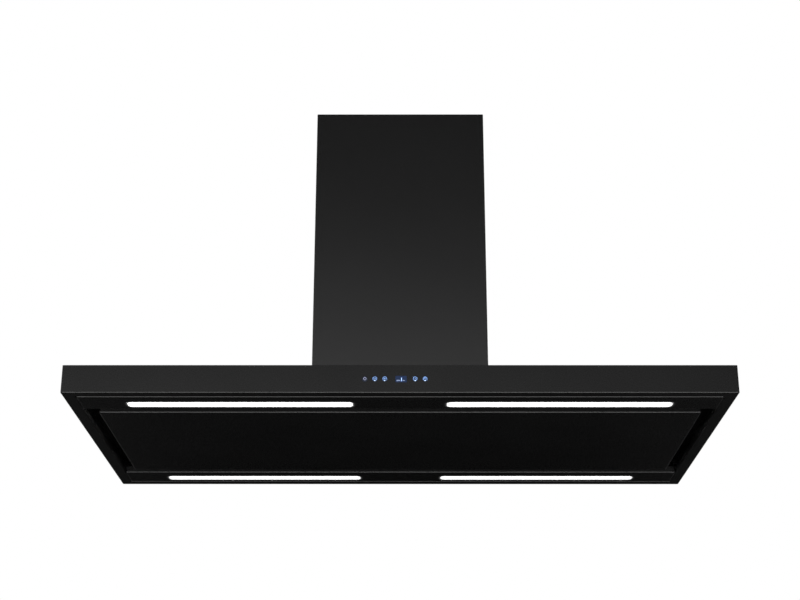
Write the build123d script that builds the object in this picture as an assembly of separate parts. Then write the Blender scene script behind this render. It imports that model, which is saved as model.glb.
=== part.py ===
from build123d import *
import os
from math import cos, radians

# Island chimney range hood, millimetres.
# Origin: centre of the canopy's underside. +X right, -Y front (control side), +Z up.

# ---- canopy: a shallow folded box, open below
canopy_w = 1200.0
canopy_d = 650.0
canopy_h = 52.0
canopy_sheet = 1.5
canopy_bend = 2.5
rim_w = 22.0
rim_lip_h = 10.0
intake_inset_x = 25.5
intake_inset_y = 25.0
intake_plenum_rim = 36.0

# ---- underside panels, folded trays with their faces just inside the rim's
panel_recess = 0.3
panel_sheet = 1.2
panel_bend = 2.5
groove_w = 5.0
light_panel_w = 70.0
light_panel_h = 14.0
light_panel_gap = 0.5
slot_w = 24.0
centre_panel_h = 10.0
front_return_w = 12.0

# ---- lamps behind rounded windows
window_w = 30.0
window_r = 9.5
window_inner_end = 84.5
window_outer_gap = 85.5
window_back = 8.0
diffuser_fit = 0.2
diffuser_t = 1.0
diffuser_flange = 4.0
diffuser_flange_t = 2.0
lamp_housing_h = 14.0
lamp_housing_wall = 1.5
lamp_board_t = 1.6
lamp_board_w = 22.0
lamp_board_end = 6.0
panel_bracket_w = 30.0
panel_bracket_d = 18.0
panel_bracket_inset = 43.0
bracket_sheet = 1.5

# ---- centre panel's stiffeners, hinges and catches
stiffener_end = 54.0
stiffener_w = 40.0
stiffener_flange = 12.0
stiffener_sheet = 1.0
stiffener_y = 90.0
hinge_inset = 134.0
hinge_edge = 8.0
hinge_z = 18.0
hinge_eye_r = 6.0
hinge_leaf_t = 2.0
hinge_leaf_foot = 22.0
hinge_ear_t = 2.0
hinge_side_gap = 0.4
hinge_pin_r = 2.5
hinge_pin_head = 1.5
hinge_pin_head_r = 4.0
hinge_clip_r = 3.8
pin_fit = 0.08
catch_x = 300.0
catch_l = 40.0
catch_d = 10.0
catch_h = 8.0
catch_inset = 1.0
seat_gap = 0.3

# ---- grease filters in their plenum
filter_count = 3
filter_w = 260.0
filter_inset_y = 44.0
filter_t = 9.0
filter_z = 27.0
filter_gap = 1.0
filter_border = 14.0
mesh_t = 4.0
mesh_bite = 2.0
mesh_fit = 0.2
mesh_cell_x = 18.0
mesh_cell_y = 20.0
mesh_strand = 2.4
plenum_sheet = 1.2
plenum_z = 21.5
filter_ledge = 8.0

# ---- filter latches: sliders under each filter's front edge
latch_w = 40.0
latch_d = 24.0
latch_t = 3.0
latch_grip_h = 2.2
latch_grip_d = 5.0
latch_grip_pitch = 10.0
latch_grip_clear = 2.0
latch_bolt_w = 24.0
latch_bite = 3.5
latch_travel = 5.0
latch_inset = 6.0
latch_rail = 2.0
latch_rail_inset = 1.0
latch_fit = 0.3

# ---- controls on the front fascia
control_z = 26.0
button_xs = {"power": -62.0, "minus": -44.3, "plus": -26.7, "timer": 27.2, "light": 44.8}
cap_recess = 0.3
button_r = 4.85
button_fit = 0.25
button_cap_t = 1.3
button_flange = 1.2
button_flange_t = 1.0
button_stem_r = 2.5
button_travel = 0.8
display_x = 2.2
display_w = 20.0
display_h = 12.0
display_r = 1.5
display_fit = 0.1
display_flange = 1.5
display_flange_t = 1.2
module_margin = 3.0
control_half_w = 80.0
control_h = 27.0
control_depth = 15.0
control_wall = 1.5
guide_y = 3.6
board_t = 1.6
switch_side = 6.0
switch_gap = 0.25
control_screw_r = 1.5
control_screw_inset = 5.0
control_screw_head_r = 3.0
control_screw_head_h = 1.5

# ---- blower: double-inlet scroll, its wheel and motor
wheel_r = 66.0
wheel_inner_r = 54.0
wheel_half_w = 56.0
wheel_ring_w = 4.0
wheel_disc_t = 2.0
wheel_blades = 36
blade_t = 1.2
blade_angle = 35.0
blade_bite = 1.0
hub_r = 12.0
hub_l = 14.0
shaft_r = 4.0
shaft_l = 44.0
shaft_end = 2.0
motor_r = 42.0
motor_l = 84.0
motor_bend = 4.0
motor_gap = 4.0
scroll_half_w = 70.0
scroll_wall = 2.5
scroll_r0 = 76.0
scroll_step = 12.0
scroll_seam_w = 6.0
scroll_outlet_h = 150.0
scroll_floor_gap = 12.0
inlet_r = 52.0
inlet_lip = 4.0
spider_t = 2.5
spider_arm_w = 14.0
spider_ring_w = 8.0
spider_cap_r = 29.4

# ---- outlet collar with two non-return flaps
spigot_r = 75.0
spigot_wall = 2.0
spigot_l = 50.0
collar_flange_t = 3.0
collar_flange_margin = 8.0
collar_edge = 2.0
flap_ledge_w = 2.5
flap_ledge_t = 2.0
flap_ledge_z = 12.0
flap_t = 1.2
flap_gap = 1.0
flap_hinge_gap = 4.5
flap_pin_r = 1.5
flap_knuckle_r = 3.0
flap_knuckle_l = 14.0
flap_knuckle_ys = (48.0, 22.0)

# ---- hanging frame: angle posts that telescope, and the ceiling plate
base_t = 3.0
base_flange_h = 16.0
post_leg = 32.0
post_t = 2.0
inner_post_leg = 20.0
inner_post_l = 500.0
post_gap = 0.3
post_slot_w = 7.0
post_bolt_inset = 12.0
post_bolt_r = 3.0
post_bolt_drops = (83.0, 43.0)
nut_r = 5.5
nut_h = 4.0
strap_h = 20.0
strap_t = 2.0
strap_drops = (223.0, 23.0)
ceiling_t = 3.0
ceiling_flange_h = 18.0
ceiling_hole_r = 90.0
anchor_x = 250.0
anchor_y = 210.0
anchor_slot_w = 8.0
anchor_slot_l = 22.0
grommet_y = 118.0
grommet_r = 10.0
grommet_bore_r = 5.0
grommet_lip = 2.5
grommet_lip_t = 1.5
frame_lift = 300.0
base_bolt_xs = (-100.0, 0.0, 100.0)
base_bolt_r = 3.0
bolt_head_r = 5.5
bolt_head_h = 4.0

# ---- blower supports
support_sheet = 2.0
support_l = 110.0
support_flange_h = 45.0
support_arm_w = 24.0
bush_r = 6.0
bush_h = 3.0
bush_pitch = 80.0

# ---- chimney covers, one inside the other
chimney_w = 335.0
chimney_d = 300.0
chimney_top = 646.0
chimney_sheet = 1.2
chimney_bend = 2.0
chimney_gap = 2.0
chimney_seam = 0.4
seam_strip_w = 24.0
seam_strip_t = 0.8
inner_chimney_l = 500.0
frame_clear = 0.2
post_clear = 0.5
cover_screw_r = 2.0
cover_screw_head_r = 3.8
cover_screw_head_h = 1.4
cover_screw_y = 90.0

# ---- electrics inside the canopy
box_w = 92.0
box_d = 220.0
box_h = 26.0
box_wall = 2.0
box_inset = 49.0
driver_w = 60.0
driver_d = 160.0
driver_h = 22.0
gland_r = 7.0
gland_bore_r = 3.5
gland_l = 14.0
gland_nut_r = 9.5
gland_nut_l = 5.0
capacitor_r = 9.0
capacitor_l = 55.0
capacitor_foot_w = 4.0
board_stand = 4.0
board_post_w = 6.0
board_post_x = 30.0
board_post_ys = (-80.0, 70.0)
terminal_w = 40.0
terminal_ys = (-60.0, -20.0)
terminal_h = 12.0
driver_bend = 4.0

# ---- places worked out from the sizes above
front_y = -canopy_d / 2
deck_z = canopy_h - canopy_sheet
rim_x = canopy_w / 2 - rim_w
rim_y = canopy_d / 2 - rim_w
light_y = rim_y - groove_w - light_panel_w / 2
centre_half_x = rim_x - slot_w
centre_half_y = rim_y - groove_w - light_panel_w - slot_w
tray_floor = panel_recess + panel_sheet
centre_top = panel_recess + centre_panel_h
window_l = rim_x - window_outer_gap - window_inner_end
window_x = window_inner_end + window_l / 2
lamp_board_l = window_l - 2 * lamp_board_end
panel_bracket_x = rim_x - panel_bracket_inset
stiffener_l = 2 * (centre_half_x - stiffener_end)
hinge_x = centre_half_x - hinge_inset
hinge_y = centre_half_y - hinge_edge
box_x = centre_half_x - box_inset
intake_x = chimney_w - 2 * intake_inset_x
filter_d = 2 * (centre_half_y - filter_inset_y)
filter_pitch = filter_w + filter_gap
plenum_half_x = (filter_count * filter_pitch + filter_gap) / 2
plenum_half_y = filter_d / 2 + filter_gap
intake_y = 2 * min(chimney_d / 2 - intake_inset_y, plenum_half_y - intake_plenum_rim)
guide_top_y = front_y + canopy_sheet + guide_y
board_y = front_y + canopy_sheet + control_depth
outer_in_x = chimney_w / 2 - chimney_sheet
outer_in_y = chimney_d / 2 - chimney_sheet
inner_out_x = outer_in_x - chimney_gap
inner_out_y = outer_in_y - chimney_gap
inner_in_x = inner_out_x - chimney_sheet
inner_in_y = inner_out_y - chimney_sheet
post_x = inner_in_x - post_clear
post_y = inner_in_y - post_clear
base_top = canopy_h + base_t
ceiling_z = chimney_top - ceiling_t
post_bolt_zs = [ceiling_z - drop for drop in post_bolt_drops]
strap_zs = [ceiling_z - drop for drop in strap_drops]
scroll_out_w = scroll_r0 + 3 * scroll_step
blower_y = -scroll_out_w / 2
blower_z = base_top + scroll_floor_gap + scroll_wall + scroll_r0 + scroll_step
outlet_top = blower_z + scroll_outlet_h
flap_z = outlet_top + collar_flange_t + flap_ledge_z + seat_gap + flap_t / 2

LOW = (Align.CENTER, Align.CENTER, Align.MIN)


def box(x0, x1, y0, y1, z0, z1):
    """A block between two corners."""
    return Pos((x0 + x1) / 2, (y0 + y1) / 2, (z0 + z1) / 2) * Box(x1 - x0, y1 - y0, z1 - z0)


def rod_x(r, x0, x1, y, z):
    """A round bar along X."""
    return Pos((x0 + x1) / 2, y, z) * Rot(0, 90, 0) * Cylinder(r, x1 - x0)


def rod_y(r, y0, y1, x, z):
    """A round bar along Y."""
    return Pos(x, (y0 + y1) / 2, z) * Rot(90, 0, 0) * Cylinder(r, y1 - y0)


def rod_z(r, z0, z1, x, y):
    """A round bar along Z."""
    return Pos(x, y, (z0 + z1) / 2) * Cylinder(r, z1 - z0)


def cut(shape, *tools):
    """Take each tool away from a shape in turn."""
    for tool in tools:
        shape = shape - tool
    return shape


def folded_tray(half_x, half_y, z, height, sheet, bend):
    """A sheet tray, open above, with rounded bends under and at its corners."""
    outer = Pos(0, 0, z) * Box(2 * half_x, 2 * half_y, height, align=LOW)
    uprights = outer.edges().filter_by(Axis.Z)
    outer = fillet(uprights, bend)
    under = outer.edges().group_by(Axis.Z)[0]
    outer = fillet(under, bend)
    room = Pos(0, 0, z + sheet) * Box(2 * (half_x - sheet), 2 * (half_y - sheet), height, align=LOW)
    return outer - room


def square_tube(half_x, half_y, z0, z1, sheet, bend):
    """An upright folded tube with rounded corners."""
    outer = extrude(RectangleRounded(2 * half_x, 2 * half_y, bend), z1 - z0)
    room = Box(2 * (half_x - sheet), 2 * (half_y - sheet), z1 - z0, align=LOW)
    return Pos(0, 0, z0) * (outer - room)


def c_bracket(x, y, width, depth, z0, z1, side):
    """A folded C, its web on the given side, its foot at z0 and its head at z1."""
    web = y + side * (depth / 2 - bracket_sheet)
    y0, y1 = sorted((web, web - side * depth))
    room = box(x - width, x + width, y0, y1, z0 + bracket_sheet, z1 - bracket_sheet)
    return box(x - width / 2, x + width / 2, y - depth / 2, y + depth / 2, z0, z1) - room


def window(x, y, grow, z0, z1):
    """The rounded shape of a lamp window, grown by a margin."""
    outline = RectangleRounded(window_l + 2 * grow, window_w + 2 * grow, window_r + grow)
    return Pos(x, y, z0) * extrude(outline, z1 - z0)


def base_bolt_places():
    """Where the base frame is bolted through the canopy and the plenum."""
    y = (intake_y / 2 + outer_in_y) / 2
    return [(x, side * y) for side in (-1, 1) for x in base_bolt_xs]


def post_corners():
    """The sign of X and Y at each corner post."""
    return [(sx, sy) for sy in (-1, 1) for sx in (-1, 1)]


# ---- canopy

def canopy_shell():
    shell = Box(canopy_w, canopy_d, canopy_h, align=LOW)
    shell = fillet(shell.edges().filter_by(Axis.Z), canopy_bend)
    shell = fillet(shell.edges().group_by(Axis.Z)[0], canopy_bend)
    wall = canopy_sheet
    room = Pos(0, 0, wall) * Box(canopy_w - 2 * wall, canopy_d - 2 * wall, deck_z - wall, align=LOW)
    mouth = Pos(0, 0, -1) * Box(2 * rim_x, 2 * rim_y, wall + 2, align=LOW)
    lip = Box(2 * (rim_x + wall), 2 * (rim_y + wall), rim_lip_h, align=LOW)
    lip = lip - Pos(0, 0, -1) * Box(2 * rim_x, 2 * rim_y, rim_lip_h + 2, align=LOW)
    shell = cut(shell, room, mouth) + lip
    inner_bend = shell.edges().filter_by(GeomType.LINE).group_by(Axis.Z)[0]
    inner_bend = [e for e in inner_bend if abs(e.center().X) <= rim_x and abs(e.center().Y) <= rim_y]
    shell = fillet(inner_bend, wall * 0.9)
    shell = shell - Pos(0, 0, deck_z - 1) * Box(intake_x, intake_y, wall + 2, align=LOW)
    for x, y in base_bolt_places():
        shell = shell - rod_z(base_bolt_r + seat_gap, deck_z - 1, canopy_h + 1, x, y)
    for x in button_xs.values():
        shell = shell - rod_y(button_r + button_fit, front_y - 1, front_y + wall + 1, x, control_z)
    shell = shell - display_plug(display_fit, front_y - 1, front_y + wall + 1)
    return shell


def window_y(side):
    """The windows' centre line, a little behind their panel's."""
    return side * light_y + window_back


def light_panel(side):
    tray = folded_tray(rim_x - light_panel_gap, light_panel_w / 2, panel_recess, light_panel_h,
                       panel_sheet, panel_bend)
    tray = Pos(0, side * light_y, 0) * tray
    for sx in (-1, 1):
        tray = tray - window(sx * window_x, window_y(side), 0, 0, tray_floor + 1)
    return tray


def panel_brackets():
    return [c_bracket(x, side * light_y, panel_bracket_w, panel_bracket_d, tray_floor, deck_z, side)
            for side in (-1, 1) for x in (-panel_bracket_x, 0, panel_bracket_x)]


def diffuser(sx, side):
    x, y = sx * window_x, window_y(side)
    plug = window(x, y, -diffuser_fit, tray_floor - diffuser_t, tray_floor)
    flange = window(x, y, diffuser_flange, tray_floor, tray_floor + diffuser_flange_t)
    return plug + flange


def lamp_places():
    return [(sx * window_x, window_y(side)) for side in (-1, 1) for sx in (-1, 1)]


def lamp_housing(x, y):
    low = tray_floor + diffuser_flange_t
    wall = lamp_housing_wall
    outer = window(x, y, diffuser_flange, low, low + lamp_housing_h)
    return outer - window(x, y, diffuser_flange - wall, low - 1, low + lamp_housing_h - wall)


def lamp_board(x, y):
    top = tray_floor + diffuser_flange_t + lamp_housing_h - lamp_housing_wall
    return Pos(x, y, top - lamp_board_t) * Box(lamp_board_l, lamp_board_w, lamp_board_t, align=LOW)


# ---- centre panel

def centre_panel():
    tray = folded_tray(centre_half_x, centre_half_y, panel_recess, centre_panel_h, panel_sheet, panel_bend)
    inside = centre_half_x - panel_sheet
    lip = box(-inside, inside, -centre_half_y + panel_sheet / 2, -centre_half_y + front_return_w,
              centre_top - panel_sheet, centre_top)
    return tray + lip


def stiffener(y):
    half = stiffener_w / 2
    top = centre_top - stiffener_sheet
    hat = box(-stiffener_l / 2, stiffener_l / 2, y - half, y + half, tray_floor, top)
    core = box(-stiffener_l, stiffener_l, y - half + stiffener_flange + stiffener_sheet,
               y + half - stiffener_flange - stiffener_sheet, tray_floor - 1, top - stiffener_sheet)
    hat = hat - core
    for side in (-1, 1):
        edge = y + side * half
        inner = y + side * (half - stiffener_flange)
        hat = hat - box(-stiffener_l, stiffener_l, *sorted((edge + side, inner)),
                        tray_floor + stiffener_sheet, top + 1)
    return hat


def hinge_eye(x0, x1):
    return rod_x(hinge_eye_r, x0, x1, hinge_y, hinge_z)


def hinge_leaf(x):
    half = hinge_leaf_t / 2
    tail = box(x - half, x + half, hinge_y - hinge_eye_r, hinge_y + hinge_eye_r / 2, tray_floor, hinge_z)
    foot = box(x - half, x + half + hinge_leaf_foot, hinge_y - 2 * hinge_eye_r, hinge_y + hinge_eye_r / 2,
               tray_floor, tray_floor + hinge_leaf_t)
    leaf = tail + foot + hinge_eye(x - half, x + half)
    return leaf - rod_x(hinge_pin_r + pin_fit, x - half - 1, x + half + 1, hinge_y, hinge_z)


def hinge_ears(x):
    """The inner faces of a hinge bracket's two ears."""
    inner = hinge_leaf_t / 2 + hinge_side_gap
    return x - inner, x + inner


def hinge_bracket(x):
    left, right = hinge_ears(x)
    ear = hinge_ear_t
    r = hinge_eye_r
    head = box(left - ear, right + ear, hinge_y - r, hinge_y + r, deck_z - ear, deck_z)
    bracket = head
    for x0 in (left - ear, right):
        blade = box(x0, x0 + ear, hinge_y - r, hinge_y + r, hinge_z, deck_z) + hinge_eye(x0, x0 + ear)
        bracket = bracket + blade
    return bracket - rod_x(hinge_pin_r + pin_fit / 2, left - 2 * ear, right + 2 * ear, hinge_y, hinge_z)


def hinge_pin(x):
    left, right = hinge_ears(x)
    low, high = left - hinge_ear_t, right + hinge_ear_t
    pin = rod_x(hinge_pin_r, low - hinge_pin_head, high + hinge_pin_head, hinge_y, hinge_z)
    head = rod_x(hinge_pin_head_r, low - hinge_pin_head, low, hinge_y, hinge_z)
    clip = rod_x(hinge_clip_r, high, high + hinge_pin_head, hinge_y, hinge_z)
    return pin + head + clip


def catch_magnet(x):
    z = centre_top + seat_gap
    y = -centre_half_y + catch_inset
    return box(x - catch_l / 2, x + catch_l / 2, y, y + catch_d, z, z + catch_h)


def catch_bracket(x):
    y = -centre_half_y + catch_inset + catch_d / 2
    return c_bracket(x, y, catch_l, catch_d, centre_top + seat_gap + catch_h, deck_z, 1)


# ---- filters

def filter_xs():
    first = -(filter_count - 1) / 2 * filter_pitch
    return [first + n * filter_pitch for n in range(filter_count)]


def filter_plenum():
    wall = plenum_sheet
    hx, hy = plenum_half_x, plenum_half_y
    outer = box(-hx - wall, hx + wall, -hy - wall, hy + wall, plenum_z, deck_z)
    plenum = outer - box(-hx, hx, -hy, hy, plenum_z - 1, deck_z - wall)
    plenum = plenum + box(-hx, hx, hy - filter_ledge, hy + wall / 2, filter_z - wall, filter_z)
    plenum = plenum - Pos(0, 0, deck_z - wall - 1) * Box(intake_x, intake_y, wall + 2, align=LOW)
    for x in filter_xs():
        half = latch_bolt_w / 2 + latch_fit
        slot_top = filter_z - latch_fit
        plenum = plenum - box(x - half, x + half, -hy - wall - 1, -hy + 1,
                              slot_top - latch_t - 2 * latch_fit, slot_top + latch_fit)
    for x, y in base_bolt_places():
        plenum = plenum - rod_z(base_bolt_r + seat_gap, deck_z - wall - 1, deck_z + 1, x, y)
    return plenum


def latch_rail_box(x, side):
    """One of the two hooked rails that carry a latch under its filter."""
    inner = latch_w / 2 + latch_fit
    y0 = -filter_d / 2 + latch_rail_inset
    y1 = y0 + latch_inset + latch_d + latch_travel
    low = filter_z - 2 * latch_fit - latch_t - latch_rail
    x0, x1 = x + side * inner, x + side * (inner + latch_rail)
    hook = x + side * (inner - latch_rail)
    rail = box(min(x0, x1), max(x0, x1), y0, y1, low, filter_z)
    return rail + box(min(hook, x1), max(hook, x1), y0, y1, low, low + latch_rail)


def filter_frame(x):
    frame = Pos(x, 0, filter_z) * Box(filter_w, filter_d, filter_t, align=LOW)
    mouth_x, mouth_y = filter_w - 2 * filter_border, filter_d - 2 * filter_border
    frame = frame - Pos(x, 0, filter_z - 1) * Box(mouth_x, mouth_y, filter_t + 2, align=LOW)
    seat = 2 * (mesh_bite + mesh_fit)
    groove = Box(mouth_x + seat, mouth_y + seat, mesh_t + 2 * mesh_fit)
    frame = frame - Pos(x, 0, filter_z + filter_t / 2) * groove
    for side in (-1, 1):
        frame = frame + latch_rail_box(x, side)
    return frame


def filter_mesh(x):
    size_x = filter_w - 2 * filter_border + 2 * mesh_bite
    size_y = filter_d - 2 * filter_border + 2 * mesh_bite
    across = int((size_x - 2 * mesh_bite) // mesh_cell_x)
    along = int((size_y - 2 * mesh_bite) // mesh_cell_y)
    half_x = (mesh_cell_x - mesh_strand) / 2
    half_y = (mesh_cell_y - mesh_strand) / 2
    diamond = Polygon((half_x, 0), (0, half_y), (-half_x, 0), (0, -half_y))
    net = Rectangle(size_x, size_y)
    holes = GridLocations(mesh_cell_x, mesh_cell_y, across, along) * diamond
    net = net - holes
    return Pos(x, 0, filter_z + (filter_t - mesh_t) / 2) * extrude(net, mesh_t)


def filter_latch(x):
    top = filter_z - latch_fit
    y0 = -filter_d / 2 + latch_inset
    body = box(x - latch_w / 2, x + latch_w / 2, y0, y0 + latch_d, top - latch_t, top)
    bolt = box(x - latch_bolt_w / 2, x + latch_bolt_w / 2,
               -plenum_half_y - latch_bite, y0 + 1, top - latch_t, top)
    latch = body + bolt
    low = top - latch_t - latch_grip_h
    grip_half = latch_w / 2 + latch_fit - latch_rail - latch_grip_clear
    for n in (0, 1):
        y = y0 + latch_grip_d + latch_grip_pitch * n
        latch = latch + box(x - grip_half, x + grip_half, y, y + latch_grip_d, low, top - latch_t / 2)
    return latch


# ---- controls

def display_plug(grow, y0, y1):
    outline = RectangleRounded(display_w + 2 * grow, display_h + 2 * grow, display_r)
    plug = extrude(outline, y1 - y0)
    return Pos(display_x, y1, control_z) * Rot(90, 0, 0) * plug


def display_window():
    inside = front_y + canopy_sheet
    plug = display_plug(0, front_y + cap_recess, inside)
    half_w = display_w / 2 + display_flange
    half_h = display_h / 2 + display_flange
    flange = box(display_x - half_w, display_x + half_w, inside, inside + display_flange_t,
                 control_z - half_h, control_z + half_h)
    return plug + flange


def display_module():
    half_w = display_w / 2 + module_margin
    half_h = display_h / 2 + module_margin
    return box(display_x - half_w, display_x + half_w, guide_top_y, board_y,
               control_z - half_h, control_z + half_h)


def button(x):
    inside = front_y + canopy_sheet
    cap = rod_y(button_r, front_y + cap_recess, inside + button_cap_t, x, control_z)
    flange_y = inside + seat_gap
    flange = rod_y(button_r + button_flange, flange_y, flange_y + button_flange_t, x, control_z)
    stem_end = board_y - switch_side / 2 - switch_gap - button_travel
    stem = rod_y(button_stem_r, flange_y, stem_end, x, control_z)
    return cap + flange + stem


def tact_switch(x):
    half = switch_side / 2
    return box(x - half, x + half, board_y - half, board_y, control_z - half, control_z + half)


def control_span():
    """The lowest and highest X of the control housing."""
    centre = (min(button_xs.values()) + max(button_xs.values())) / 2
    return centre - control_half_w, centre + control_half_w


def control_housing():
    x0, x1 = control_span()
    z0, z1 = control_z - control_h / 2, control_z + control_h / 2
    inside = front_y + canopy_sheet
    wall = control_wall
    housing = box(x0, x1, inside, board_y, z0, z1)
    housing = housing - box(x0 + wall, x1 - wall, inside - 1, guide_top_y - wall, z0 + wall, z1 - wall)
    housing = housing - box(x0 + wall, x1 - wall, guide_top_y, board_y + 1, z0 + wall, z1 - wall)
    for x in button_xs.values():
        hole = rod_y(button_stem_r + button_fit, inside, board_y, x, control_z)
        housing = housing - hole
    half_w = display_w / 2 + module_margin
    half_h = display_h / 2 + module_margin
    return housing - box(display_x - half_w, display_x + half_w, inside, guide_top_y + 1,
                         control_z - half_h, control_z + half_h)


def control_screw_places():
    x0, x1 = control_span()
    inset = control_screw_inset
    return [(x, z) for x in (x0 + inset, x1 - inset)
            for z in (control_z - control_h / 2 + inset, control_z + control_h / 2 - inset)]


def control_board():
    x0, x1 = control_span()
    board = box(x0, x1, board_y, board_y + board_t, control_z - control_h / 2, control_z + control_h / 2)
    for x, z in control_screw_places():
        board = board - rod_y(control_screw_r + seat_gap, board_y - 1, board_y + board_t + 1, x, z)
    for x in button_xs.values():
        board = board + tact_switch(x)
    return board + display_module()


def control_screw(x, z):
    back = board_y + board_t
    shank = rod_y(control_screw_r, guide_top_y, back, x, z)
    return shank + rod_y(control_screw_head_r, back, back + control_screw_head_h, x, z)


# ---- blower

def scroll_face(grow):
    """The scroll's side outline, seen along X, as a face in (y, z) grown by a wall."""
    r1, r2, r3 = (scroll_r0 + n * scroll_step for n in range(3))
    top = scroll_outlet_h
    tongue = (0, r1)
    left = (-r1, 0)
    bottom = (scroll_step, -r2)
    right = (scroll_step + r3, scroll_step)
    arc_left = RadiusArc(tongue, left, -r1)
    arc_under = RadiusArc(left, bottom, -r2)
    arc_right = RadiusArc(bottom, right, -r3)
    outline = arc_left + arc_under + arc_right
    outline += Polyline(right, (right[0], top), (0, top), tongue)
    face = make_face(outline)
    if grow:
        face = offset(face, grow, kind=Kind.INTERSECTION)
    return face


def along_x(face, x0, x1):
    """Extrude a face drawn in (y, z) about the blower's axis from x0 to x1."""
    plane = Plane(origin=(x0, blower_y, blower_z), x_dir=(0, 1, 0), z_dir=(1, 0, 0))
    return extrude(plane * face, x1 - x0)


def scroll_half(side):
    inner = scroll_face(0)
    outer = scroll_face(scroll_wall)
    seam = scroll_face(scroll_wall + scroll_seam_w)
    far = side * scroll_half_w
    wall = side * (scroll_half_w - scroll_wall)
    half = along_x(outer, min(0, far), max(0, far))
    half = half + along_x(seam, min(0, side * scroll_wall), max(0, side * scroll_wall))
    half = half - along_x(inner, min(-side, wall), max(-side, wall))
    lip = side * (scroll_half_w + inlet_lip)
    half = half + rod_x(inlet_r + scroll_wall, min(wall, lip), max(wall, lip), blower_y, blower_z)
    half = half - rod_x(inlet_r, min(0, 2 * far), max(0, 2 * far), blower_y, blower_z)
    half = half - box(-canopy_w, canopy_w, -canopy_d, canopy_d, outlet_top, chimney_top)
    mouth_w = scroll_half_w - scroll_wall
    return half - box(-mouth_w, mouth_w, blower_y, -blower_y, outlet_top - 2 * scroll_wall, outlet_top + 1)


def impeller():
    mid_r = (wheel_r + wheel_inner_r) / 2
    chord = (wheel_r - wheel_inner_r) / cos(radians(blade_angle)) - 2 * blade_bite
    blade = Rot(0, 0, blade_angle) * Rectangle(chord, blade_t)
    ring = Circle(wheel_r) - Circle(wheel_inner_r)
    wheel = along_x(Circle(wheel_r), -wheel_disc_t / 2, wheel_disc_t / 2)
    for x0 in (-wheel_half_w, wheel_half_w - wheel_ring_w):
        wheel = wheel + along_x(ring, x0, x0 + wheel_ring_w)
    blades = PolarLocations(mid_r, wheel_blades) * blade
    wheel = wheel + along_x(Sketch() + blades, -wheel_half_w + blade_bite, wheel_half_w - blade_bite)
    wheel = wheel + rod_x(hub_r, -hub_l, motor_gap / 2, blower_y, blower_z)
    return wheel - rod_x(shaft_r, -hub_l - 1, motor_gap, blower_y, blower_z)


def motor_shaft():
    return rod_x(shaft_r, -hub_l - shaft_end, shaft_l - hub_l - shaft_end, blower_y, blower_z)


def motor():
    body = rod_x(motor_r, motor_gap, motor_gap + motor_l, blower_y, blower_z)
    rim_edges = body.edges().filter_by(GeomType.CIRCLE)
    body = fillet(rim_edges, motor_bend)
    return body - rod_x(shaft_r + pin_fit, 0, shaft_l - hub_l, blower_y, blower_z)


def motor_spider():
    """A ring on the right inlet with three arms that carry the motor's back."""
    x0 = scroll_half_w + inlet_lip
    back = motor_gap + motor_l
    ring_r = inlet_r + scroll_wall + spider_ring_w
    ring = rod_x(ring_r, x0, x0 + spider_t, blower_y, blower_z)
    ring = ring - rod_x(inlet_r, x0 - 1, x0 + spider_t + 1, blower_y, blower_z)
    spider = ring + rod_x(spider_cap_r, back, back + spider_t, blower_y, blower_z)
    for n in range(3):
        turn = Pos(0, blower_y, blower_z) * Rot(90 + 120 * n, 0, 0) * Pos(0, -blower_y, -blower_z)
        arm = box(back, back + spider_t, blower_y, blower_y + ring_r,
                  blower_z - spider_arm_w / 2, blower_z + spider_arm_w / 2)
        leg = box(x0, back + spider_t, blower_y + inlet_r + 1, blower_y + inlet_r + 1 + spider_t,
                  blower_z - spider_arm_w / 2, blower_z + spider_arm_w / 2)
        tip = box(back - 1, back + spider_t + 1, blower_y + inlet_r + 1 + spider_t, blower_y + 2 * ring_r,
                  blower_z - spider_arm_w, blower_z + spider_arm_w)
        spider = spider + turn * (arm - tip + leg)
    return spider


def support_bush_ys():
    centre = blower_y + scroll_step
    return (centre - bush_pitch / 2, centre + bush_pitch / 2)


def support_bush_x():
    return (intake_x / 2 + post_x) / 2


def blower_support(side):
    """A folded arm from the base frame in to one side of the scroll."""
    centre = blower_y + scroll_step
    y0, y1 = centre - support_l / 2, centre + support_l / 2
    low = base_top + bush_h
    near = scroll_half_w
    outer = post_x - post_t
    shelf = box(*sorted((side * near, side * outer)), y0, y1, low, low + support_sheet)
    x0, x1 = sorted((side * near, side * (near + support_sheet)))
    upright = box(x0, x1, y0, y1, low, low + support_flange_h)
    arm = shelf + upright
    window_x0 = side * (near + support_arm_w / 2)
    window_x1 = side * (support_bush_x() - support_arm_w / 2)
    arm = arm - box(*sorted((window_x0, window_x1)), y0 + support_arm_w, y1 - support_arm_w,
                    low - 1, low + support_sheet + 1)
    inlet_clear = inlet_r + scroll_wall + inlet_lip + spider_ring_w
    arm = arm - rod_x(inlet_clear, -2 * near, 2 * near, blower_y, blower_z)
    for y in support_bush_ys():
        hole = rod_z(base_bolt_r + seat_gap, low - 1, low + support_sheet + 1, side * support_bush_x(), y)
        arm = arm - hole
    return arm


def support_bush(side, y):
    x = side * support_bush_x()
    bush = rod_z(bush_r, base_top, base_top + bush_h, x, y)
    return bush - rod_z(base_bolt_r + seat_gap, canopy_h, base_top + bush_h + 1, x, y)


def support_screw(side, y):
    x = side * support_bush_x()
    top = base_top + bush_h + support_sheet
    return rod_z(base_bolt_r, base_top, top, x, y) + rod_z(bolt_head_r, top, top + bolt_head_h, x, y)


# ---- outlet collar and its flaps

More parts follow.
